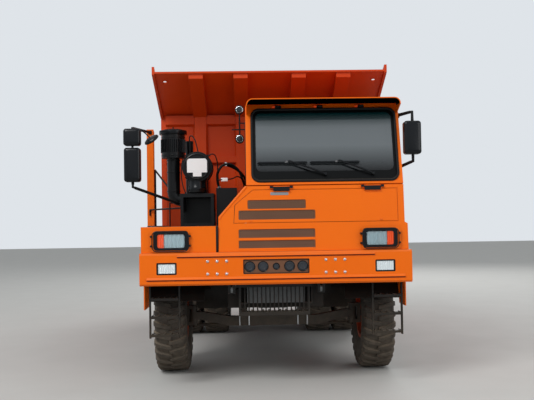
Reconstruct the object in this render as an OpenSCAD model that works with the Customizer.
// A rigid off-highway dump truck: offset cab, engine deck beside it, three axles,
// an open rock bed with a canopy over the cab, and a telescopic hoist behind the cab.
// It faces -Y and stands on Z = 0. A place along it is a distance s behind the
// bumper's face, and a point in the tables below is [x, s, z].

/* [Overall] */
// Length from the bumper's face to the end of the bed's tail
overall_l = 9100; // [8600:50:10900]
// Width over the bumper and over the bed's ribs
overall_w = 3300; // [3200:20:3900]
// Height of the front edge of the canopy's plate
canopy_z = 4150; // [4000:10:4900]

/* [Axles and wheels] */
// Distance from the bumper's face to the front axle
front_overhang = 1500; // [1400:10:1800]
// Distance from the middle of the rear axles to the tail of the bed
rear_overhang = 3070; // [2800:10:3500]
// Distance between the two rear axles
tandem_l = 1560; // [1530:10:1900]
// Track of the front wheels
front_track = 2750; // [2700:10:2900]
// Distance between the middles of the rear twin wheels
rear_track = 2360; // [2340:10:2700]
// Outer diameter of a tyre
tyre_d = 1490; // [1300:10:1510]
// Width of a tyre
tyre_w = 430; // [340:5:440]
// Diameter of a rim where the bead sits
rim_d = 640; // [520:10:700]
// Gap between the two tyres of a twin wheel
twin_gap = 60; // [40:5:80]
// Distance from the truck's middle to a kingpin
kingpin_x = 1110; // [1000:5:1110]

/* [Frame] */
// Width over the two frame rails
frame_w = 900; // [800:10:1000]
// Height of the top of the rails
frame_top = 1330; // [1300:5:1400]
// Depth of a rail
rail_h = 320; // [240:10:360]
// Width of a rail's flanges
rail_b = 90; // [90:5:110]
// Plate thickness of a rail
rail_t = 14; // [8:1:20]

/* [Bed] */
// Distance from the bumper's face to the bed's front wall
bed_front_s = 2500; // [2450:10:2700]
// Height of the bed's floor
floor_z = 1715; // [1700:5:1850]
// Height of the top of the bed's side walls
wall_top_z = 3800; // [3400:10:4300]
// Plate thickness of the bed
bed_t = 16; // [10:1:25]
// How far the bed's ribs stand out from its plates
rib_d = 80; // [50:5:110]
// Number of ribs along one side wall
side_ribs = 8; // [5:1:10]
// Distance from the bed's hinge to its tail
hinge_overhang = 1200; // [1100:10:1300]
// Length of the rising tail of the floor
tail_l = 1350; // [1000:10:1500]
// Height that the floor rises along its tail
tail_rise = 300; // [100:10:400]

/* [Cab] */
// Width of the cab
cab_w = 1935; // [1900:5:2050]
// Distance from the truck's middle to the cab's outer side
cab_side_x = 1585; // [1560:5:1590]
// Height of the cab's roof
cab_top_z = 3560; // [3400:10:3700]
// Height of the underside of the cab
cab_floor_z = 1760; // [1750:5:1800]
// Distance from the bumper's face to the back of the cab
cab_back_s = 1640; // [1560:10:1660]
// Thickness of the cab's walls and door
cab_wall = 50; // [30:5:70]
// Length of the door
door_l = 930; // [700:10:960]

/* [Front] */
// Height of the underside of the bumper
bumper_z = 1272; // [1200:5:1300]
// Height of the bumper
bumper_h = 394; // [360:2:420]
// Depth of the bumper from front to back
bumper_d = 260; // [220:5:270]
// Height of the deck beside the cab
deck_z = 1985; // [1960:5:2050]

/* [Hoist] */
// Height of the hoist's lower pin
hoist_base_z = 1300; // [1290:5:1400]
// Height of the hoist's upper pin
hoist_top_z = 2750; // [2700:10:2900]
// Distance from the bed's front wall forward to the hoist's upper pin
hoist_reach = 460; // [440:5:520]
// Outer radius of the hoist's barrel
hoist_r = 130; // [110:2:140]

/* [Hidden] */
$fn = 48;
orange = "#e8541c";
black = "#1c1c1e";
chassis = "#2b2b2d";
rubber = "#151515";
steel = "#b8bcc0";
glass = "#33403f";
grey = "#7d8184";

half_w = overall_w / 2;
axle_z = tyre_d / 2;
tyre_r = tyre_d / 2;
rear_mid_s = overall_l - rear_overhang;
rear_axle_s = [rear_mid_s - tandem_l / 2, rear_mid_s + tandem_l / 2];
hinge_s = overall_l - hinge_overhang;
rail_x = frame_w / 2;
frame_bottom = frame_top - rail_h;
pin_gap = 0.4;

// Bed heights: the sills rest on pads on the rails, bearers lie across the sills
pad_h = 15;
sill_bottom = frame_top + pad_h;
bearer_h = 100;
sill_top = floor_z - bed_t - bearer_h;
tail_s = overall_l - tail_l;
hinge_z = frame_top - 75;
rear_rail_s = hinge_s - 120;
plate_x = half_w - rib_d;
canopy_front_s = 1420;
canopy_root_z = 3680;
wing_rise = 70;

// Cab: the inner side of the cab and the plane of the windscreen
cab_in_x = cab_side_x - cab_w;
cab_front_s = 200;
screen_foot = [120, 2480];
screen_head = [370, 3490];
door_s = 520;
door_gap = 6;
door_z = [1800, 3420];
bumper_top = bumper_z + bumper_h;
arch_r = tyre_r + 155;
arch_t = 12;
panel_t = 16;
fascia_s = 50;
split_x = -700;
nose_top_z = 2470;
nose_lean = atan((screen_foot[0] - fascia_s) / (nose_top_z - bumper_top));

// Hoist: both pins lie on one circle round the bed's hinge, so the barrel turns
// through half of the bed's angle
hoist_top_s = bed_front_s - hoist_reach;
hoist_circle_r = norm([hinge_s - hoist_top_s, hoist_top_z - hinge_z]);
hoist_base_s = hinge_s - sqrt(pow(hoist_circle_r, 2) - pow(hoist_base_z - hinge_z, 2));
hoist_l = norm([hoist_top_s - hoist_base_s, hoist_top_z - hoist_base_z]);
hoist_lean = atan2(hoist_top_s - hoist_base_s, hoist_top_z - hoist_base_z);
stage_step = 17;
stage_gap = 0.5;
hoist_pin_r = 32;

// Turns a distance behind the bumper's face into Y
function from_front(s) = s - overall_l / 2;

// Points of an arc round centre c
function arc(c, r, a0, a1, n = 5) =
    [for (i = [0:n]) let (a = a0 + (a1 - a0) * i / n) [c[0] + r * cos(a), c[1] + r * sin(a)]];

// Outline of a rectangle with round corners between its low and high corners
function round_box(a, b, r) = concat(
    arc([b[0] - r, b[1] - r], r, 0, 90), arc([a[0] + r, b[1] - r], r, 90, 180),
    arc([a[0] + r, a[1] + r], r, 180, 270), arc([b[0] - r, a[1] + r], r, 270, 360));

// Height of the underside of the bed's floor plate at s
function floor_under(s) = floor_z - bed_t + max(0, s - tail_s) * tail_rise / tail_l;

// Place s of the windscreen's plane at height z
function screen_s(z) = screen_foot[0] + (z - screen_foot[1])
    * (screen_head[0] - screen_foot[0]) / (screen_head[1] - screen_foot[1]);

// A block between two corners given as [x, s, z]
module block(a, b) translate([a[0], from_front(a[1]), a[2]]) cube(b - a);

// An outline in s and z, extruded across the truck
module across(x0, x1)
    translate([x0, from_front(0), 0]) rotate([90, 0, 90]) linear_extrude(x1 - x0) children();

// An outline in x and z, extruded along the truck
module along(s0, s1)
    translate([0, from_front(s1), 0]) rotate([90, 0, 0]) linear_extrude(s1 - s0) children();

// A piece and its mirror image on the other side
module both_sides() {
    children();
    mirror([1, 0, 0]) children();
}

// Round bars along each direction
module bar_across(x0, x1, s, z, r)
    translate([x0, from_front(s), z]) rotate([0, 90, 0]) cylinder(r = r, h = x1 - x0);
module bar_along(s0, s1, x, z, r)
    translate([x, from_front(s0), z]) rotate([-90, 0, 0]) cylinder(r = r, h = s1 - s0);
module bar_up(x, s, z0, z1, r) translate([x, from_front(s), z0]) cylinder(r = r, h = z1 - z0);

// A bent round bar through points [x, s, z], with a slightly fuller bend at each corner
module bent_bar(points, r) {
    for (i = [0:len(points) - 2]) {
        step = points[i + 1] - points[i];
        translate([points[i][0], from_front(points[i][1]), points[i][2]])
            rotate([0, acos(step[2] / norm(step)), atan2(step[1], step[0])])
                cylinder(r = r, h = norm(step));
    }
    for (i = [1:1:len(points) - 2])
        translate([points[i][0], from_front(points[i][1]), points[i][2]]) sphere(r = r * 1.06);
}

// Chassis

module frame_rails() color(chassis) both_sides() {
    along(bumper_d + 2, rear_rail_s) polygon([
        [rail_x - rail_b, frame_bottom], [rail_x, frame_bottom], [rail_x, frame_top],
        [rail_x - rail_b, frame_top], [rail_x - rail_b, frame_top - rail_t],
        [rail_x - rail_t, frame_top - rail_t], [rail_x - rail_t, frame_bottom + rail_t],
        [rail_x - rail_b, frame_bottom + rail_t]]);
    for (s = [bed_front_s + 300, rear_mid_s - tandem_l / 2, rear_mid_s + tandem_l / 2])
        block([rail_x - rail_b, s, frame_top], [rail_x, s + 300, frame_top + pad_h - 0.3]);
}

// Middle height of the rails
rail_mid_z = frame_top - rail_h / 2;
cross_s = [475, 2620, 3300, 4300, rear_mid_s, rear_rail_s - 130];
boss_x = [rail_x - 65, rail_x - 25];

module crossmembers() color(chassis) {
    web_x = rail_x - rail_t;
    for (s = cross_s) bar_across(-web_x, web_x, s, rail_mid_z, 75);
    hoist_cradle();
    // Hinge brackets at the tail of the rails
    both_sides() difference() {
        union() {
            across(boss_x[0], boss_x[1]) polygon([
                [rear_rail_s - 220, frame_bottom + rail_t + 2], [rear_rail_s, frame_bottom + rail_t + 2],
                [hinge_s + 40, hinge_z - 57], [hinge_s, hinge_z + 60], [rear_rail_s, frame_top - rail_t - 2],
                [rear_rail_s - 220, frame_top - rail_t - 2]]);
            bar_across(boss_x[0], boss_x[1], hinge_s, hinge_z, 70);
        }
        bar_across(0, rail_x, hinge_s, hinge_z, 30 + pin_gap);
    }
    tow_clevis();
}

// Rear towing clevis on a box between the hinge brackets
module tow_clevis() {
    block([-boss_x[0], rear_rail_s - 100, frame_bottom + 40],
          [boss_x[0], rear_rail_s - 20, frame_bottom + 220]);
    difference() {
        for (z = [frame_bottom + 70, frame_bottom + 150])
            block([-70, rear_rail_s - 20, z], [70, rear_rail_s + 130, z + 30]);
        bar_up(0, rear_rail_s + 70, frame_bottom, frame_top, 27);
    }
}

// Cradle between the rails with the two ears that hold the hoist's lower pin
module hoist_cradle() difference() {
    union() {
        block([rail_t - rail_x, hoist_base_s + 150, rail_mid_z - 70],
              [rail_x - rail_t, hoist_base_s + 230, rail_mid_z + 70]);
        for (x = [-1, 1]) translate([x * (hoist_r + 30), 0, 0]) across(-20, 20) polygon(concat(
            arc([hoist_base_s, hoist_base_z], 75, 45, 210),
            [[hoist_base_s + 150, rail_mid_z - 70], [hoist_base_s + 230, rail_mid_z - 70],
             [hoist_base_s + 230, rail_mid_z + 70]]));
    }
    bar_across(-rail_x, rail_x, hoist_base_s, hoist_base_z, hoist_pin_r + pin_gap);
}

// Outer faces of the left and the right side panel, from the truck's middle
fender_x = [half_w - 30, half_w - 15];

// Two beams across the frame on pedestals, under the cab and the deck
support_s = [340, 1430];
support_z = [1668, cab_floor_z - 0.3];
module cab_supports() color(chassis) for (s = support_s) {
    block([-fender_x[1] + panel_t + 0.3, s, support_z[0]],
          [fender_x[0] - panel_t - 0.3, s + 80, support_z[1]]);
    for (x = [-1, 1]) translate([x * (rail_x - rail_b / 2), 0, 0])
        block([-rail_b / 2, s - 20, frame_top], [rail_b / 2, s + 100, support_z[0]]);
}

// Front

// Lamp places: middle x, width, low z and high z
head_lamp = [1285, 430, 1700, 1920];
fog_lamp = [1323, 244, 1404, 1550];

module bumper() color(orange) difference() {
    union() {
        across(-half_w, half_w) polygon([
            [bumper_d, bumper_z], [22, bumper_z], [0, bumper_z + 22], [0, bumper_top - 22], [22, bumper_top],
            [bumper_d, bumper_top], [bumper_d, bumper_top - 16], [28, bumper_top - 16], [16, bumper_top - 28],
            [16, bumper_z + 28], [28, bumper_z + 16], [bumper_d, bumper_z + 16]]);
        both_sides() block([half_w - 16, 16, bumper_z], [half_w, bumper_d, bumper_top]);
        both_sides() bumper_bracket();
        both_sides() tow_lug();
    }
    both_sides() along(-1, 60) polygon(round_box(
        [fog_lamp[0] - fog_lamp[1] / 2, fog_lamp[2]], [fog_lamp[0] + fog_lamp[1] / 2, fog_lamp[3]], 14));
    along(-1, 60) polygon(round_box([-400, 1400], [400, 1577], 12));
    block([-1197, -1, 1604], [1197, 6, 1618]);
    block([-1565, -1, 1328], [1565, 6, 1342]);
    both_sides() bar_across(400, 700, 110, tow_z, 28);
}

// Bracket from the bumper back to the end of a rail
module bumper_bracket()
    block([rail_x - rail_b, 16, bumper_z + 15], [rail_x, bumper_d + 1.7, frame_top]);

// Forked towing lug under the bumper
tow_z = bumper_z - 62;
module tow_lug() for (x = [500, 560])
    across(x, x + 28) polygon(concat([[180, bumper_z], [40, bumper_z]], arc([110, tow_z], 55, 180, 360)));

// Right panel of the front, from the split to the truck's side
module front_fascia() color(orange) difference() {
    union() {
        block([-half_w + 15, fascia_s, bumper_top + 0.3], [split_x - 5, fascia_s + panel_t, deck_z]);
        block([-half_w + 15, fascia_s, deck_z - panel_t], [split_x - 5, 120, deck_z]);
    }
    mirror([1, 0, 0]) lamp_hole();
}

module lamp_hole() along(fascia_s - 1, fascia_s + 40) polygon(round_box(
    [head_lamp[0] - head_lamp[1] / 2, head_lamp[2]], [head_lamp[0] + head_lamp[1] / 2, head_lamp[3]], 24));

// Places of the four grilles: low x, high x, low z, high z
nose_grilles = [[-450, 483, 1687, 1812], [-450, 483, 1815, 1939]];
flap_grilles = [[-448, 490, 2058, 2170], [-337, 376, 2188, 2297]];
flap_outline = [[-505, 2020], [1502, 2020], [1502, 2420], [-270, 2420], [-490, 2238]];

// Puts an outline in x and z on the plane of the nose, from depth d0 to depth d1 behind it
module on_nose(d0, d1) translate([0, from_front(fascia_s), bumper_top]) rotate([-nose_lean, 0, 0])
    translate([0, d1, 0]) rotate([90, 0, 0]) linear_extrude(d1 - d0)
        translate([0, -bumper_top]) children();

module grille_hole(g) polygon(round_box([g[0], g[2]], [g[1], g[3]], 16));

module nose_panel() color(orange) {
    flap_lugs();
    nose_sheet();
}
module nose_sheet() difference() {
    on_nose(0, panel_t) difference() {
        polygon([[split_x + 5, bumper_top + 2], [half_w - 30, bumper_top + 2], [half_w - 30, deck_z],
                 [cab_side_x, deck_z + 20], [cab_side_x, nose_top_z], [-365, nose_top_z],
                 [split_x + 5, 2095]]);
        offset_flap(5);
        for (g = nose_grilles) grille_hole(g);
    }
    lamp_hole();
}

// The flap's outline, grown by d on every side
module offset_flap(d) polygon([
    flap_outline[0] + [-d, -d], flap_outline[1] + [d, -d], flap_outline[2] + [d, d],
    flap_outline[3] + [-d / 2, d], flap_outline[4] + [-d, d / 2]]);

module grilles() color(black) {
    for (g = nose_grilles) on_nose(panel_t + 0.3, panel_t + 8) difference() {
        polygon(round_box([g[0] - 12, g[2] - 1], [g[1] + 12, g[3] + 1], 10));
        slots(g, 5);
    }
    // Plate with five round openings in the bumper
    along(16.3, 24) difference() {
        polygon(round_box([-420, 1385], [420, 1590], 12));
        for (i = [-2:2]) translate([i * 160, 1488]) circle(r = i == 0 ? 38 : 62);
    }
}

// Level slots over the height of a grille
module slots(g, count) {
    pitch = (g[3] - g[2]) / count;
    for (i = [0:count - 1]) translate([g[0] + 12, g[2] + pitch * (i + 0.25)])
        square([g[1] - g[0] - 24, pitch / 2]);
}

// Flap hinge: middle x of each hinge, height on the nose, distance in front of it, pin radius
flap_hinge_x = [80, 1200];
flap_hinge_z = 2447;
flap_hinge_d = 14;
flap_pin_r = 6;
module nose_bar(x0, x1, r) translate([x0, from_front(fascia_s), bumper_top]) rotate([-nose_lean, 0, 0])
    translate([0, -flap_hinge_d, flap_hinge_z - bumper_top]) rotate([0, 90, 0]) cylinder(r = r, h = x1 - x0);
module nose_block(x0, x1, z0, z1, d0, d1) on_nose(d0, d1) polygon([[x0, z0], [x1, z0], [x1, z1], [x0, z1]]);

module service_flap() color(orange) {
    on_nose(0, panel_t) difference() {
        polygon(flap_outline);
        for (g = flap_grilles) grille_hole(g);
    }
    // Hinge leaves over the flap's top edge
    for (x = flap_hinge_x) difference() {
        union() {
            nose_block(x - 98, x + 98, 2398, 2418, -flap_hinge_d - 7, 1);
            nose_block(x - 98, x + 98, 2396, flap_hinge_z, -flap_hinge_d - 9, -5);
            nose_bar(x - 100, x + 100, 11);
        }
        nose_bar(x - 101, x + 101, flap_pin_r + pin_gap);
    }
}

// Lugs of the flap's hinges on the nose, with their pins
module flap_lugs() for (x = flap_hinge_x) {
    for (end = [x - 140, x + 102])
        nose_block(end, end + 38, flap_hinge_z - 14, flap_hinge_z + 14, -flap_hinge_d - 10, 1);
    nose_bar(x - 139, x + 139, flap_pin_r);
}

// Headlamps, fog lamps, tail lamps and two work lamps beside the cab
module lamps() color(black) {
    both_sides() {
        headlamp();
        fog_lamp_body();
        tail_lamp();
    }
    work_lamps();
}

// Two round lamps on a mast at the inner rear corner of the cab
work_lamp_x = cab_in_x - 84;
module work_lamps() {
    s = cab_back_s - 40;
    lamp_z = [cab_top_z - 355, cab_top_z + 57];
    difference() {
        union() {
            bar_up(work_lamp_x, s, lamp_z[0], lamp_z[1], 11);
            for (z = lamp_z) bar_along(s - 100, s + 5, work_lamp_x, z, 60);
            block([work_lamp_x - 110, s - 12, cab_top_z - 222], [cab_in_x - 0.3, s + 12, cab_top_z - 206]);
            block([work_lamp_x - 14, s - 12, cab_top_z - 130], [cab_in_x - 0.3, s + 12, cab_top_z - 114]);
        }
        for (z = lamp_z) bar_along(s - 101, s - 86, work_lamp_x, z, 52);
    }
}

// Lamp block behind the rear wheels, on a bar from the end of a rail
module tail_lamp() {
    block([rail_x + 0.3, rear_rail_s - 80, frame_bottom + 50],
          [rail_x + 300, rear_rail_s - 40, frame_bottom + 90]);
    difference() {
        block([rail_x + 110, rear_rail_s - 60, frame_bottom + 10],
              [rail_x + 330, rear_rail_s + 20, frame_bottom + 150]);
        block([rail_x + 122, rear_rail_s + 8, frame_bottom + 22],
              [rail_x + 318, rear_rail_s + 21, frame_bottom + 138]);
    }
}

// Headlamp with its frame
module headlamp() {
    difference() {
        union() {
            along(fascia_s - 16, fascia_s - 0.3) polygon(round_box(
                [head_lamp[0] - head_lamp[1] / 2 - 22, head_lamp[2] - 20],
                [head_lamp[0] + head_lamp[1] / 2 + 22, head_lamp[3] + 20], 34));
            along(fascia_s - 1, fascia_s + 110) polygon(round_box(
                [head_lamp[0] - head_lamp[1] / 2 + 0.3, head_lamp[2] + 0.3],
                [head_lamp[0] + head_lamp[1] / 2 - 0.3, head_lamp[3] - 0.3], 23.7));
        }
        along(0, fascia_s + 20) polygon(round_box(
            [head_lamp[0] - 190, head_lamp[2] + 34], [head_lamp[0] + 190, head_lamp[3] - 34], 18));
    }
}

module fog_lamp_body() {
    difference() {
        along(4, 110) polygon(round_box(
            [fog_lamp[0] - fog_lamp[1] / 2 + 0.3, fog_lamp[2] + 0.3],
            [fog_lamp[0] + fog_lamp[1] / 2 - 0.3, fog_lamp[3] - 0.3], 13.7));
        along(3, 24) polygon(round_box(
            [fog_lamp[0] - fog_lamp[1] / 2 + 16, fog_lamp[2] + 16],
            [fog_lamp[0] + fog_lamp[1] / 2 - 16, fog_lamp[3] - 16], 10));
    }
}

// Hanging front step: a bar under the bumper, rods down and a tread with teeth
module front_step() color(black) {
    step_s = 150;
    block([-490, step_s, bumper_z - 45], [440, step_s + 80, bumper_z - 0.3]);
    for (x = [-452, 402]) block([x - 10, step_s + 15, 900], [x + 10, step_s + 65, bumper_z - 45]);
    for (i = [0:16]) bar_up(-440 + i * 51.9, step_s + 40, 925, bumper_z - 45, 8);
    block([-462, step_s, 880], [412, step_s + 170, 925]);
    for (i = [0:12]) block([-450 + i * 70, step_s, 925], [-430 + i * 70, step_s + 170, 940]);
}

// Boarding ladders under the bumper's ends
module ladders() color(black) both_sides() {
    for (x = [1180, 1540]) block([x, 180, 620], [x + 20, 230, bumper_z - 0.3]);
    for (z = [640, 860, 1080]) {
        block([1200, 160, z], [1540, 250, z + 30]);
        for (i = [0:4]) block([1210 + i * 75, 160, z + 30], [1225 + i * 75, 250, z + 42]);
    }
}

// Side panels with round wheel openings
module front_fenders() color(orange) {
    front_fender(fender_x[0], cab_floor_z);
    mirror([1, 0, 0]) front_fender(fender_x[1], deck_z - panel_t - 0.3);
}
module front_fender(x, top_z) {
    front_s = fascia_s + panel_t + 12;
    back_s = 2370;
    across(x - panel_t, x) difference() {
        polygon([
            [front_s, bumper_top + 0.3], [bumper_d + 2, bumper_top + 0.3], [bumper_d + 2, 960], [back_s, 960],
                 [back_s, top_z], [front_s, top_z]]);
        translate([front_overhang, axle_z]) circle(r = arch_r - 3);
    }
}

// Arches over the front wheels, inside the side panels
module wheel_arches() color(black) {
    wheel_arch(fender_x[0] - panel_t - 0.3);
    mirror([1, 0, 0]) wheel_arch(fender_x[1] - panel_t - 0.3);
}
module wheel_arch(x) across(905, x) polygon(concat(
    arc([front_overhang, axle_z], arch_r + arch_t, 18, 162, 24),
    arc([front_overhang, axle_z], arch_r, 162, 18, 24)));

// Deck beside the cab with its stringers and a raised edge
module deck() color(black) {
    block([-half_w + 15, 120.3, deck_z - panel_t], [cab_in_x - 20, 2370, deck_z]);
    for (x = [-half_w + 90, -1000, cab_in_x - 120])
        block([x, 120.3, support_z[1]], [x + 50, 2370, deck_z - panel_t]);
    block([cab_in_x - 20, cab_back_s + 40, deck_z - panel_t], [-hoist_r - 60, 2370, deck_z]);
}

// Cab

// Outline of the cab in s and z, drawn d inside its outer face
module cab_side(d) {
    lean = [d * 1.03, 0];
    polygon(concat(
        [[cab_front_s, cab_floor_z] + [d, d], [cab_back_s, cab_floor_z] + [-d, d]],
        arc([cab_back_s - 100, cab_top_z - 100], 100 - d, 0, 90),
        arc([screen_head[0] + 110, cab_top_z - 100], 100 - d, 90, 160),
        [screen_foot + lean, [cab_front_s, nose_top_z - 10] + [d, 0]]));
}

// Outline of the cab in x and z, drawn d inside its outer face
module cab_front(d) polygon(concat(
    [[cab_in_x + d, cab_floor_z - 1 + d], [cab_side_x - d, cab_floor_z - 1 + d]],
    arc([cab_side_x - 90, cab_top_z - 90], 90 - d, 0, 90),
    arc([cab_in_x + 90, cab_top_z - 90], 90 - d, 90, 180)));

module cab_solid(d) intersection() {
    across(cab_in_x - 10, cab_side_x + 10) cab_side(d);
    along(0, cab_back_s + 10) cab_front(d);
}

// The windscreen's opening, its corners well rounded
screen_x = [cab_in_x + 80, cab_side_x - 55];
module screen_outline(d) polygon(round_box(
    [screen_x[0] + d, 2525 + d], [screen_x[1] - d, 3440 - d], 90 - d));
module door_outline(d) polygon(round_box(
    [door_s + d, door_z[0] + d], [door_s + door_l - d, door_z[1] - d], 60));
module door_window(d) polygon(round_box(
    [door_s + 90 + d, 2560 + d], [door_s + door_l - 90 - d, door_z[1] - 100 - d], 60 - d));
module side_window(d)
    polygon(round_box([door_s + 60 + d, 2560 + d], [cab_back_s - 170 - d, 3320 - d], 60 - d));
module rear_window(d)
    polygon(round_box([cab_in_x + 350 + d, 2700 + d], [cab_side_x - 350 - d, 3300 - d], 60 - d));

module cab_shell() color(orange) difference() {
    cab_solid(0);
    cab_solid(cab_wall);
    along(0, 460) screen_outline(0);
    across(cab_side_x - cab_wall - 20, cab_side_x + 20) door_outline(-door_gap);
    across(cab_in_x - 20, cab_in_x + cab_wall + 20) side_window(0);
    along(cab_back_s - cab_wall - 20, cab_back_s + 20) rear_window(0);
}

// Windscreen, fixed side window and rear window
module cab_glass() color(glass) {
    intersection() {
        along(0, 460) screen_outline(0.3);
        across(cab_in_x, cab_side_x) polygon([
            [screen_s(2400) + 14, 2400], [screen_s(2400) + 22, 2400],
            [screen_s(3500) + 22, 3500], [screen_s(3500) + 14, 3500]]);
    }
    across(cab_in_x + 20, cab_in_x + 28) side_window(0.3);
    along(cab_back_s - 28, cab_back_s - 20) rear_window(0.3);
}

door_hinge = [cab_side_x + 22, door_s - 8];
module cab_door() color(orange) {
    across(cab_side_x - cab_wall, cab_side_x) difference() {
        door_outline(0);
        door_window(0);
    }
    // Hinge straps with their barrels
    for (z = [2000, 2730, 3180]) difference() {
        union() {
            bar_up(door_hinge[0], door_hinge[1], z, z + 90, 16);
            block([cab_side_x, door_hinge[1], z + 10], [door_hinge[0], door_s + 110, z + 80]);
        }
        bar_up(door_hinge[0], door_hinge[1], z - 1, z + 91, 8 + pin_gap);
    }
    // Handle
    block([cab_side_x, door_s + door_l - 150, 2380], [cab_side_x + 34, door_s + door_l - 40, 2410]);
}

module door_glass() color(glass)
    across(cab_side_x - 30, cab_side_x - 22) door_window(0.3);

// Visor: a thin hood, round at its corners, that reaches out from the roof and drops a little
visor_s = 95;
visor_drop = 5;
module visor_front(d) polygon(concat(
    [[cab_in_x + 12 + d, 3200], [cab_side_x - 12 - d, 3200]],
    arc([cab_side_x - 90, cab_top_z - 60], 78 - d, 0, 90),
    arc([cab_in_x + 90, cab_top_z - 60], 78 - d, 90, 180)));
module sun_visor() color(orange) {
    pivot = [0, from_front(screen_head[0] + 110), cab_top_z + 6];
    difference() {
        intersection() {
            translate(pivot) rotate([visor_drop, 0, 0]) translate(-pivot)
                along(visor_s, screen_head[0] + 110) difference() {
                    visor_front(0);
                    visor_front(12);
                }
            across(cab_in_x - 10, cab_side_x + 10) polygon([
                [0, 3700], [0, 3470], [visor_s, 3462], [screen_head[0], 3375], [600, 3375], [600, 3700]]);
        }
        cab_solid(-0.3);
    }
    block([cab_in_x + 100, screen_head[0] + 90, cab_top_z + 0.3],
          [cab_side_x - 100, screen_head[0] + 300, cab_top_z + 12]);
}

module dashboard() color(black) {
    across(cab_in_x + cab_wall + 0.3, cab_side_x - cab_wall - 0.3) polygon([
        [cab_front_s + cab_wall + 0.3, 2200], [520, 2280], [560, 2420], [480, 2500], [300, 2505],
        [cab_front_s + cab_wall + 0.3, 2440]]);
    column();
}

// Steering column; the wheel turns on its upper end
wheel_mid = [1080, 700, 2560];
column_tilt = -35;
module column() translate([wheel_mid[0], from_front(wheel_mid[1]), wheel_mid[2]])
    rotate([column_tilt, 0, 0]) translate([0, 0, -320]) {
        cylinder(r = 40, h = 290);
        cylinder(r = 12, h = 320);
    }

module steering_wheel() color(black)
    translate([wheel_mid[0], from_front(wheel_mid[1]), wheel_mid[2]]) rotate([column_tilt, 0, 0]) {
        rotate_extrude() translate([220, 15]) circle(r = 15);
        difference() {
            translate([0, 0, -25]) cylinder(r = 45, h = 45);
            translate([0, 0, -26]) cylinder(r = 12 + pin_gap, h = 36);
        }
        for (a = [30, 150, 270]) rotate([0, 0, a]) translate([40, -14, 2]) cube([172, 28, 14]);
    }

module seats() color(black) for (x = [1080, 180]) {
    bar_up(x, 1080, cab_floor_z + cab_wall + 0.3, 2120, 90);
    across(x - 250, x + 250) polygon(round_box([800, 2100], [1330, 2240], 50));
    across(x - 240, x + 240) polygon([[1230, 2200], [1340, 2200], [1500, 2930], [1400, 2960]]);
    for (dx = [-60, 60]) bar_up(x + dx, 1462, 2900, 2990, 9);
    across(x - 130, x + 130) polygon([[1425, 2960], [1500, 2945], [1535, 3110], [1450, 3130]]);
}

// Platform furniture

foot_t = 14;
// Orange post at the outer rear corner of the deck
module side_post() color(orange)
    across(-1800, -1700) polygon([
        [1960, deck_z + foot_t + 0.3], [2060, deck_z + foot_t + 0.3], [2060, 3380], [1960, 3410]]);

// Foot of the side post, a rod beside it with a stay, and two low rails to the stand
module handrails() color(black) {
    block([-1801, 1940, deck_z], [-half_w + 140, 2080, deck_z + foot_t]);
    stand_pad(1420, 2290);
    stand_pad(1480, 2244);
    bent_bar([[-1683, 1990, deck_z + foot_t - 1], [-1683, 1990, 2812], [stand_x[0] - 14, 1420, 2290]], 13);
    bent_bar([[-1760, 1946.5, 2150], [-1760, 1946.5, 2232], [stand_x[0] - 14, 1480, 2244]], 12);
    bent_bar([[-1435, 1590, deck_z], [-1435, 1590, 2319], [stand_x[0] - 0.3, 1590, 2319]], 10);
}

// Pad on the stand's side that a rod ends in
module stand_pad(s, z)
    block([stand_x[0] - 26, s - 22, z - 28], [stand_x[0] - 0.3, s + 22, z + 28]);

// Mirror heads: [x, s, z] of the low corner and of the high corner
mirror_heads = [
    [[1622, 180, 2842], [1834, 270, 3257]],
    [[-1911, 560, 2565], [-1703, 650, 3005]],
    [[-1916, 560, 3030], [-1699, 640, 3250]]];
module mirrors() color(black) {
    for (h = mirror_heads) along(h[0][1], h[1][1])
        polygon(round_box([h[0][0], h[0][2]], [h[1][0], h[1][2]], 35));
    // Low and high end of each arm: on the door post, at the bend and in the mirror's head
    for (z = [[3355, 3375, 3240], [2690, 2755, 2860]]) {
        block([cab_side_x + 0.3, 405, z[0] - 30], [cab_side_x + 26, 487, z[0] + 30]);
        bent_bar([[cab_side_x + 14, 448, z[0]], [1735, 225, z[1]], [1735, 225, z[2]]], 15);
    }
    block([-1775, 1938, 3340], [-1725, 1959.7, 3392]);
    stand_pad(1180, 2291);
    bent_bar([[-1750, 1945, 3365], [-1807, 610, 3262], [-1807, 610, 2502], [stand_x[0] - 14, 1180, 2291]],
             15);
}

// Air cleaner: intake stack, elbow and the drum that faces forward
stack = [-1349, 1300];
drum = [-1008, 2784];
drum_r = 192;
elbow_z = 2450;
elbow_r = 100;
stand_x = [-1240, -790];
stand_top = 2426;
module air_cleaner() color(black) {
    bar_up(stack[0], stack[1], elbow_z - 1, 2930, 86);
    bar_up(stack[0], stack[1], 2921, 3255, 158);
    bar_up(stack[0], stack[1], 3250, 3300, 186);
    bar_up(stack[0], stack[1], 3299, 3317, 120);
    translate([stack[0] + elbow_r, from_front(stack[1]), elbow_z]) rotate([90, 0, 0])
        rotate_extrude(angle = 90, start = 180) translate([elbow_r, 0]) circle(r = 84);
    bar_across(stack[0] + elbow_r - 1, stand_x[0] - 0.3, stack[1], elbow_z - elbow_r, 82);
    bar_along(1000, 1620, drum[0], drum[1], drum_r);
    bar_along(985, 1010, drum[0], drum[1], drum_r - 14);
    bar_up(drum[0], 1120, stand_top + 25, 2610, 119);
    bar_up(-1150, 1612, stand_top + 8, 3190, 55);
}

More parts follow.
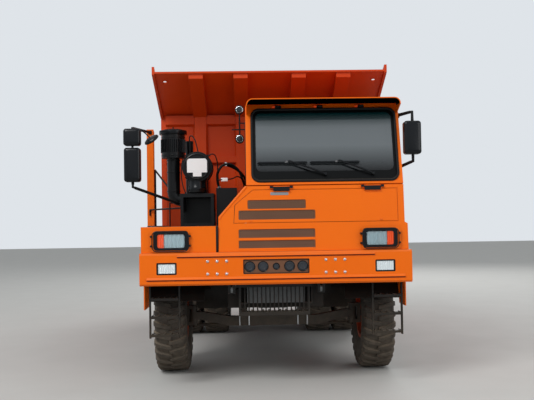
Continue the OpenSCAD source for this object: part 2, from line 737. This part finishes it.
// Stand under the air cleaner and the cover beside the engine
module filter_stand() color(black) {
    difference() {
        block([stand_x[0], 1050, deck_z], [stand_x[1], 1650, stand_top]);
        block([stand_x[0] + 40, 1000, deck_z + 40], [stand_x[1] - 40, 1560, stand_top - 50]);
        block([stand_x[0] - 50, 1090, deck_z + 40], [stand_x[1] + 50, 1560, 2190]);
    }
    for (s = [1180, 1480]) difference() {
        block([-1130, s, stand_top - 5], [-886, s + 60, 2680]);
        bar_along(900, 1700, drum[0], drum[1], drum_r + 0.3);
        bar_up(drum[0], 1120, 2390, 2700, 126);
    }
    block([-760, 1150, deck_z], [-480, 1600, 2500]);
}

engine_x = 310;
gearbox_s = 2330;
// Engine, gearbox and radiator as plain masses
module engine() color(grey) {
    block([-engine_x, 560, 960], [engine_x, 1560, 1640]);
    block([-200, 1560, 820], [200, 1700, 1180]);
    block([-170, 1700, 860], [170, gearbox_s, 1085]);
    for (x = [-1, 1]) translate([x * 345, 0, 0]) for (s = [640, 1380])
        block([-36, s, 1040], [36, s + 120, 1240]);
    block([-rail_x + rail_b + 0.3, 300, 1020], [rail_x - rail_b - 0.3, 390, 1660]);
}

module exhaust() color(grey) {
    bar_along(bay_s[1] - 800, bay_s[1], -720, 1010, 165);
    bent_bar([[-640, bay_s[1] - 700, 1080], [-520, bay_s[1] - 700, 1180], [-520, 1300, 1180],
              [-520, 1300, 1400], [-engine_x - 0.3, 1300, 1400]], 45);
    for (s = [bay_s[1] - 700, bay_s[1] - 150]) block([-600, s, 1130], [-rail_x, s + 60, 1200]);
}

// Free bay along the frame between the front and the rear wheels
bay_s = [2470, rear_axle_s[0] - tyre_r - 90];

module fuel_tank() color(black) {
    along(bay_s[0] + 200, bay_s[1]) polygon(round_box([540, 700], [1240, 1300], 90));
    for (s = [bay_s[0] + 350, bay_s[1] - 300]) block([rail_x, s, 1120], [560, s + 80, 1250]);
    bar_up(1100, bay_s[0] + 420, 1290, 1345, 60);
}

module hydraulic_tank() color(black) {
    along(bay_s[0] + 130, bay_s[1] - 880) polygon(round_box([-1150, 720], [-640, 1300], 60));
    block([-650, bay_s[0] + 250, 1030], [-rail_x, bay_s[1] - 960, 1110]);
}

// Two air tanks on brackets between the rails
module air_tanks() color(black) {
    for (x = [-190, 190]) bar_along(3480, 4160, x, rail_mid_z, 120);
    for (s = [3600, 4000])
        block([-rail_x + rail_t, s, rail_mid_z - 30], [rail_x - rail_t, s + 40, rail_mid_z + 30]);
}

// Axles, suspension and steering

boss_h = 90;
arm_s = 240;
module front_axle() color(chassis) difference() {
    union() {
        along(front_overhang - 55, front_overhang + 55) polygon([
            [-kingpin_x, axle_z + 45], [-kingpin_x, axle_z - 45], [-kingpin_x + 120, axle_z - 60],
            [-620, axle_z - 150], [620, axle_z - 150], [kingpin_x - 120, axle_z - 60],
            [kingpin_x, axle_z - 45], [kingpin_x, axle_z + 45], [kingpin_x - 120, axle_z + 50],
            [600, axle_z - 20], [-600, axle_z - 20], [-kingpin_x + 120, axle_z + 50]]);
        both_sides() bar_up(kingpin_x, front_overhang, axle_z - boss_h, axle_z + boss_h, 55);
    }
    both_sides() bar_up(kingpin_x, front_overhang, 0, 2 * axle_z, 25 + pin_gap);
}

// Leaf springs: every leaf is an arc over whole steps of one angle, so they stack flush
leaf_t = 16;
leaves = 6;
// Leaf k of a pack that curves upwards (dir 1) or downwards (dir -1) from its middle
module leaf(mid_s, mid_z, radius, step, k, steps, dir) {
    function spot(i, r) = [mid_s + r * sin(i * step), mid_z + dir * (radius - r * cos(i * step))];
    polygon(concat(
        [for (i = [-steps:steps]) spot(i, radius + k * leaf_t)],
        [for (i = [steps:-1:-steps]) spot(i, radius + (k + 1) * leaf_t)]));
}

front_leaf_r = 2300;
front_leaf_step = 2;
front_leaf_end = [front_leaf_r * sin(10 * front_leaf_step), front_leaf_r * (1 - cos(10 * front_leaf_step))];
module front_springs() color(chassis) both_sides() {
    x = [rail_x - rail_b, rail_x];
    top = axle_z + 101;
    across(x[0], x[1]) for (k = [0:leaves - 1])
        leaf(front_overhang, top, front_leaf_r, front_leaf_step, k, 10 - k, 1);
    // Seat between the axle and the spring, and the hangers of its two ends
    block([x[0] - 10, front_overhang - 90, axle_z - 20],
          [x[1] + 10, front_overhang + 90, top - leaves * leaf_t + 1]);
    for (side = [-1, 1]) translate([0, side * (front_leaf_end[0] + 20), 0])
        block([x[0], front_overhang - 40, top + front_leaf_end[1] - 60],
              [x[1], front_overhang + 40, frame_bottom]);
}

// The left knuckle: fork round the axle's boss, kingpin, stub axle and steering arm
module knuckle() {
    gap = 0.4;
    lug_h = 45;
    s = front_overhang;
    bar_up(kingpin_x, s, axle_z - boss_h - gap - lug_h, axle_z + boss_h + gap + lug_h, 25);
    for (z = [axle_z + boss_h + gap, axle_z - boss_h - gap - lug_h]) {
        bar_up(kingpin_x, s, z, z + lug_h, 52);
        block([kingpin_x, s - 50, z], [kingpin_x + 110, s + 50, z + lug_h]);
    }
    block([kingpin_x + 62, s - 50, axle_z - boss_h - gap - lug_h],
          [kingpin_x + 110, s + 50, axle_z + boss_h + gap + lug_h]);
    bar_across(kingpin_x + 100, front_track / 2 + 130, s, axle_z, 45);
    // Arm back to the tie rod
    difference() {
        union() {
            block([kingpin_x - 40, s + 30, arm_z], [kingpin_x + 40, s + arm_s, arm_z + lug_h]);
            bar_up(kingpin_x, s + arm_s, arm_z, arm_z + lug_h, 42);
        }
        bar_up(kingpin_x, s + arm_s, arm_z - 1, arm_z + lug_h + 1, 14 + pin_gap);
    }
}
arm_z = axle_z - boss_h - 0.4 - 45;
module knuckle_left() color(chassis) knuckle();
module knuckle_right() color(chassis) mirror([1, 0, 0]) knuckle();

module tie_rod() color(chassis) {
    s = front_overhang + arm_s;
    bar_across(-kingpin_x, kingpin_x, s, arm_z - 30, 22);
    both_sides() {
        bar_up(kingpin_x, s, arm_z - 60, arm_z - 0.4, 36);
        bar_up(kingpin_x, s, arm_z - 1, arm_z + 50, 14);
    }
}

twin_x = (tyre_w + twin_gap) / 2;
spindle_r = 60;
axle_tube_r = 95;
module rear_axles() color(chassis) for (s = rear_axle_s) {
    bar_across(-rear_track / 2 + twin_x + 140, rear_track / 2 - twin_x - 140, s, axle_z, axle_tube_r);
    bar_across(-rear_track / 2 - 130, rear_track / 2 + 130, s, axle_z, spindle_r);
    translate([0, from_front(s), axle_z]) rotate([90, 0, 0]) translate([0, 0, -110])
        cylinder(r = 225, h = 220);
    bar_along(s - 260, s + 150, 0, axle_z + 10, 90);
}

// Rear springs across both axles, on a saddle under the frame
rear_leaf_r = 2600;
rear_leaf_top = axle_z + 225;
// Height of the main leaf's underside at distance d from the middle of the rear axles
function rear_leaf_z(d) = rear_leaf_top - rear_leaf_r + sqrt(pow(rear_leaf_r, 2) - d * d) - 1;
module rear_suspension() color(chassis) both_sides() {
    x = [rail_x + 12, rail_x + 112];
    step = asin((tandem_l / 2 + 75) / rear_leaf_r) / 7;
    across(x[0], x[1]) for (k = [0:leaves - 1])
        leaf(rear_mid_s, rear_leaf_top, rear_leaf_r, step, k, 7 - k, -1);
    // Saddle under the pack with its bracket on the rail
    across(rail_x, x[1]) polygon([
        [rear_mid_s - 150, rear_leaf_top - 60], [rear_mid_s - 60, rear_leaf_top - 170],
        [rear_mid_s + 60, rear_leaf_top - 170], [rear_mid_s + 150, rear_leaf_top - 60],
        [rear_mid_s + 90, rear_leaf_top + 1], [rear_mid_s - 90, rear_leaf_top + 1]]);
    block([rail_x, rear_mid_s - 150, rear_leaf_top - 60], [x[0] - 2, rear_mid_s + 150, frame_bottom + 160]);
    for (dir = [-1, 1]) let (d = tandem_l / 2) difference() {
        across(x[0], x[1]) polygon([
            [rear_mid_s + dir * (d - 60), axle_z + 40], [rear_mid_s + dir * (d + 60), axle_z + 40],
            [rear_mid_s + dir * (d + 60), rear_leaf_z(d + 60)],
            [rear_mid_s + dir * (d - 60), rear_leaf_z(d - 60)]]);
        bar_across(rail_x, rail_x + 120, rear_mid_s + dir * d, axle_z, axle_tube_r + 0.3);
    }
}

module propshafts() color(chassis) {
    shaft_r = 48;
    shaft_gap = 0.643;
    flange_s = rear_axle_s[0] - 260;
    slant = shaft_r * sin(atan((975 - axle_z - 10) / (flange_s - gearbox_s))) + shaft_gap;
    for (run = [[gearbox_s + slant, flange_s - slant, 975, axle_z + 10],
                [rear_axle_s[0] + 150.3, rear_axle_s[1] - 260.3, axle_z + 10, axle_z + 10]])
        bent_bar([[0, run[0], run[2]], [0, run[1], run[3]]], shaft_r);
}

// Wheels, turned about Z round their own middle and then laid along X

rim_r = rim_d / 2;
flange_h = 30;
bead_x = tyre_w / 2 - 65;

// Half section of a tyre in radius and width
module tyre_section() {
    shoulder = 42;
    polygon(concat(
        [[rim_r + 0.3, -bead_x], [rim_r + flange_h + 1, -bead_x], [rim_r + flange_h + 4, -bead_x - 24],
         [rim_r + 110, -tyre_w / 2 + 4], [rim_r + 180, -tyre_w / 2], [tyre_r - 100, -tyre_w / 2 + 6]],
        arc([tyre_r - shoulder, -tyre_w / 2 + shoulder + 12], shoulder, 260, 360, 5),
        arc([tyre_r - shoulder, tyre_w / 2 - shoulder - 12], shoulder, 0, 100, 5),
        [[tyre_r - 100, tyre_w / 2 - 6], [rim_r + 180, tyre_w / 2], [rim_r + 110, tyre_w / 2 - 4],
         [rim_r + flange_h + 4, bead_x + 24], [rim_r + flange_h + 1, bead_x], [rim_r + 0.3, bead_x],
         [rim_r + 0.3, bead_x - 45], [rim_r + 60, bead_x - 20], [rim_r + 170, tyre_w / 2 - 45],
         [tyre_r - 110, tyre_w / 2 - 45], [tyre_r - 60, tyre_w / 2 - 85], [tyre_r - 60, -tyre_w / 2 + 85],
         [tyre_r - 110, -tyre_w / 2 + 45], [rim_r + 170, -tyre_w / 2 + 45], [rim_r + 60, -bead_x + 20],
         [rim_r + 0.3, -bead_x + 45]]));
}

module at_wheel(x, s) translate([x, from_front(s), axle_z]) rotate([0, 90, 0]) children();
module tyre() color(rubber) rotate_extrude($fn = 96) tyre_section();

// A rim whose disc lies at width disc_x, with a hub out to hub_x and a bore for its axle
module rim(disc_x, hub_x0, hub_x1, bore_r) {
    difference() {
        union() {
            rotate_extrude($fn = 96) {
                polygon([[rim_r, -bead_x - 20], [rim_r + flange_h, -bead_x - 20], [rim_r + flange_h, -bead_x - 1],
                         [rim_r, -bead_x - 1], [rim_r, bead_x + 1], [rim_r + flange_h, bead_x + 1],
                         [rim_r + flange_h, bead_x + 20], [rim_r - 20, bead_x + 20], [rim_r - 20, -bead_x - 20]]);
                polygon([[0, disc_x - 40], [190, disc_x - 40], [250, disc_x - 8], [rim_r - 10, disc_x - 8],
                         [rim_r - 10, disc_x + 8], [245, disc_x + 8], [185, disc_x - 22], [0, disc_x - 22]]);
            }
            translate([0, 0, hub_x0]) cylinder(r = 130, h = hub_x1 - hub_x0);
        }
        translate([0, 0, hub_x0 - 1]) cylinder(r = bore_r, h = hub_x1 - hub_x0 - 19);
        for (i = [0:9]) rotate([0, 0, i * 36]) translate([222, 0, -tyre_w]) cylinder(r = 22, h = 2 * tyre_w);
    }
}

module front_rim() color(orange) rim(90, -80, 150, 45 + pin_gap);
module rear_rims() color(orange) {
    translate([0, 0, -twin_x]) rim_shell(95);
    translate([0, 0, twin_x]) rim(-60, -twin_x - 150, 110, spindle_r + pin_gap);
}
// The inner rim of a twin wheel, open in the middle and bolted to the same hub
module rim_shell(disc_x) difference() {
    rotate_extrude($fn = 96) {
        polygon([[rim_r, -bead_x - 20], [rim_r + flange_h, -bead_x - 20], [rim_r + flange_h, -bead_x - 1],
                 [rim_r, -bead_x - 1], [rim_r, bead_x + 1], [rim_r + flange_h, bead_x + 1],
                 [rim_r + flange_h, bead_x + 20], [rim_r - 20, bead_x + 20], [rim_r - 20, -bead_x - 20]]);
        polygon([[129, disc_x - 8], [rim_r - 10, disc_x - 8], [rim_r - 10, disc_x + 8], [129, disc_x + 8]]);
    }
    for (i = [0:9]) rotate([0, 0, i * 36]) translate([222, 0, -tyre_w]) cylinder(r = 22, h = 2 * tyre_w);
}

module rear_tyres() color(rubber) for (x = [-twin_x, twin_x]) translate([0, 0, x]) tyre();

// Bed

module bed_floor() color(orange) {
    across(-plate_x, plate_x) polygon([
        [bed_front_s, floor_z - bed_t], [tail_s, floor_z - bed_t], [overall_l, floor_under(overall_l)],
        [overall_l, floor_under(overall_l) + bed_t], [tail_s, floor_z], [bed_front_s, floor_z]]);
    // Bearers across the sills
    bearers = 10;
    for (i = [0:bearers]) let (s = bed_front_s + i * (overall_l - 90 - bed_front_s) / bearers)
        across(-plate_x, plate_x) polygon([
            [s, floor_under(s) - bearer_h], [s + 90, floor_under(s + 90) - bearer_h],
            [s + 90, floor_under(s + 90) + 5], [s, floor_under(s) + 5]]);
    both_sides() {
        across(rail_x - rail_b, rail_x) polygon([
            [bed_front_s + 20, sill_bottom], [hinge_s + 120, sill_bottom],
            [overall_l - 60, floor_under(overall_l - 60) - bearer_h - 25],
            [overall_l - 60, floor_under(overall_l - 60) - bearer_h + 4], [tail_s, sill_top + 4],
            [bed_front_s + 20, sill_top + 4]]);
        for (x = [rail_x - 88, rail_x - 22]) across(x, x + 20) polygon(concat(
            [[hinge_s + 75, sill_bottom + 20], [hinge_s - 70, sill_bottom + 20]],
            arc([hinge_s, hinge_z], 55, 180, 360)));
        // Hinge pin with its heads
        bar_across(rail_x - 100, rail_x + 10, hinge_s, hinge_z, 30);
        bar_across(rail_x - 100, rail_x - 87, hinge_s, hinge_z, 42);
        bar_across(rail_x - 4, rail_x + 10, hinge_s, hinge_z, 42);
    }
}

// Side walls with their ribs and rails; the top edge drops towards the tail
module bed_sides() color(orange) both_sides() {
    drop_s = overall_l - 900;
    end_z = floor_z + 1250;
    across(plate_x - bed_t, plate_x) polygon([
        [bed_front_s, floor_z + 0.3], [tail_s, floor_z + 0.3],
        [overall_l - 20, floor_under(overall_l - 20) + bed_t + 0.3], [overall_l - 20, end_z],
        [drop_s, wall_top_z], [bed_front_s, wall_top_z]]);
    // Chine plate along the floor's edge
    along(bed_front_s + bed_t, tail_s) polygon([
        [plate_x - bed_t, floor_z + 0.3], [plate_x - bed_t, floor_z + 180],
        [plate_x - bed_t - 180, floor_z + 0.3]]);
    // Top rail and bottom rail
    across(plate_x, half_w) polygon([[bed_front_s, wall_top_z - 110], [drop_s, wall_top_z - 110],
        [overall_l - 20, end_z - 110], [overall_l - 20, end_z], [drop_s, wall_top_z],
        [bed_front_s, wall_top_z]]);
    across(plate_x, half_w) polygon([
        [bed_front_s, floor_under(bed_front_s) - bearer_h], [tail_s, floor_under(tail_s) - bearer_h],
        [overall_l - 20, floor_under(overall_l - 20) - bearer_h],
        [overall_l - 20, floor_under(overall_l - 20) + 60],
        [tail_s, floor_z + 60], [bed_front_s, floor_z + 60]]);
    // Vertical ribs, narrower outside than at the plate
    for (i = [0:side_ribs]) let (s = bed_front_s + 66 + i * (drop_s - bed_front_s - 132) / side_ribs)
        translate([0, from_front(s), floor_z]) linear_extrude(wall_top_z - 100 - floor_z)
            polygon([[plate_x, -65], [half_w, -42], [half_w, 42], [plate_x, 65]]);
}

// Front wall with its ribs, canopy, side wings and the bracket for the hoist
front_rib_x = [-1040, -410, 410, 1040];
canopy_slope = (canopy_z - canopy_root_z) / (bed_front_s - canopy_front_s);
module bed_front() color(orange) {
    block([-plate_x + 0.3, bed_front_s - bed_t, floor_z - bed_t - bearer_h],
          [plate_x - 0.3, bed_front_s - 0.3, canopy_root_z + 20]);
    for (x = front_rib_x) {
        translate([x, from_front(bed_front_s - bed_t), floor_z - 100])
            linear_extrude(canopy_root_z - floor_z + 90)
            polygon([[-110, 0], [-85, -rib_d], [85, -rib_d], [110, 0]]);
        across(x - 100, x + 100) polygon([
            [bed_front_s - bed_t - 1, canopy_root_z - 30], [bed_front_s - bed_t - 1, canopy_root_z + 14],
            [canopy_front_s + 30, canopy_z - bed_t - 5], [canopy_front_s + 30, canopy_z - bed_t - 80],
            [bed_front_s - bed_t - rib_d, canopy_root_z - 35]]);
    }
    // Canopy plate with its front lip and a lifting hole at each side
    difference() {
        across(-half_w, half_w) polygon([
            [bed_front_s, canopy_root_z], [canopy_front_s, canopy_z - bed_t], [canopy_front_s, canopy_z],
            [bed_front_s, canopy_root_z + bed_t + 4]]);
        both_sides() bar_up(half_w - 160, canopy_front_s + 220, canopy_root_z, canopy_z, 28);
    }
    block([-half_w, canopy_front_s, canopy_z - 26], [half_w, canopy_front_s + 16, canopy_z]);
    both_sides() across(half_w - 36, half_w) polygon([
        [bed_front_s - 0.3, canopy_root_z - 40], [bed_front_s - 0.3, wall_top_z + 20],
        [canopy_front_s, canopy_z + wing_rise], [canopy_front_s, canopy_z - 40]]);
    // Beams across the wall
    for (z = [[canopy_root_z - 170, canopy_root_z - 8], [2920, 3040]])
        across(-plate_x + 0.3, plate_x - 0.3) polygon([
            [bed_front_s - bed_t, z[0]], [bed_front_s - bed_t - 60, z[0] + 30],
            [bed_front_s - bed_t - 60, z[1]], [bed_front_s - bed_t, z[1]]]);
    hoist_bracket();
}

// Two ears that hold the hoist's eye; the pin is left out so that the eye can drift
eye_w = 60;
module hoist_bracket() both_sides() difference() {
    union() {
        across(eye_w / 2 + 6, eye_w / 2 + 31) polygon(concat(
            [[bed_front_s - bed_t, hoist_top_z - 240]], arc([hoist_top_s, hoist_top_z], 70, 315, 90, 8),
            [[bed_front_s - bed_t, hoist_top_z + 260]]));
        bar_across(eye_w / 2 + 20, eye_w / 2 + 45, hoist_top_s, hoist_top_z, 55);
    }
    bar_across(0, eye_w / 2 + 46, hoist_top_s, hoist_top_z, hoist_pin_r + pin_gap);
}

// Hoist

module along_hoist() translate([0, from_front(hoist_base_s), hoist_base_z])
    rotate([-hoist_lean, 0, 0]) children();
function stage_r(k) = hoist_r - k * stage_step;
barrel_top = hoist_l - 190;

module hoist_barrel() color(black) along_hoist() difference() {
    union() {
        translate([0, 0, 40]) cylinder(r = hoist_r, h = barrel_top - 40);
        rotate([0, 90, 0]) translate([0, 0, -hoist_r - 60]) cylinder(r = hoist_pin_r, h = 2 * hoist_r + 120);
        rotate([0, 90, 0]) translate([0, 0, -hoist_r - 5]) cylinder(r = 60, h = 2 * hoist_r + 10);
    }
    translate([0, 0, 90]) cylinder(r = stage_r(1) + stage_gap, h = hoist_l);
}

// Moving stages: tubes that slide in one another, and the rod with its eye
module hoist_stage(k) color(steel) along_hoist() {
    top = barrel_top + 18 * k;
    if (k < 4) difference() {
        translate([0, 0, 90 + 12 * k]) cylinder(r = stage_r(k), h = top - 90 - 12 * k);
        translate([0, 0, 90]) cylinder(r = stage_r(k + 1) + stage_gap, h = hoist_l);
    }
    else {
        translate([0, 0, 90 + 12 * k]) cylinder(r = stage_r(k), h = top - 90 - 12 * k);
        difference() {
            union() {
                translate([-eye_w / 2, -45, top - 1]) cube([eye_w, 90, hoist_l - top]);
                translate([-eye_w / 2, 0, hoist_l]) rotate([0, 90, 0]) cylinder(r = 62, h = eye_w);
            }
            translate([-eye_w, 0, hoist_l]) rotate([0, 90, 0])
                cylinder(r = hoist_pin_r + pin_gap, h = 2 * eye_w);
        }
    }
}

frame_rails();
crossmembers();
cab_supports();
bumper();
front_fascia();
nose_panel();
grilles();
service_flap();
cab_shell();
cab_glass();
cab_door();
door_glass();
sun_visor();
dashboard();
steering_wheel();
seats();
lamps();
front_step();
ladders();
front_fenders();
wheel_arches();
deck();
handrails();
side_post();
mirrors();
air_cleaner();
filter_stand();
engine();
exhaust();
fuel_tank();
hydraulic_tank();
air_tanks();
front_axle();
front_springs();
knuckle_left();
knuckle_right();
tie_rod();
rear_axles();
rear_suspension();
propshafts();
at_wheel(front_track / 2, front_overhang) tyre();  // tyre_front_left
at_wheel(-front_track / 2, front_overhang) tyre();  // tyre_front_right
at_wheel(front_track / 2, front_overhang) front_rim();  // rim_front_left
mirror([1, 0, 0]) at_wheel(front_track / 2, front_overhang) front_rim();  // rim_front_right
for (axle = [1, 2]) {
    at_wheel(rear_track / 2, rear_axle_s[axle - 1]) rear_tyres();
    at_wheel(-rear_track / 2, rear_axle_s[axle - 1]) rear_tyres();
    at_wheel(rear_track / 2, rear_axle_s[axle - 1]) rear_rims();
    mirror([1, 0, 0]) at_wheel(rear_track / 2, rear_axle_s[axle - 1]) rear_rims();
}
bed_floor();
bed_sides();
bed_front();
hoist_barrel();
for (stage = [1:4]) hoist_stage(stage);
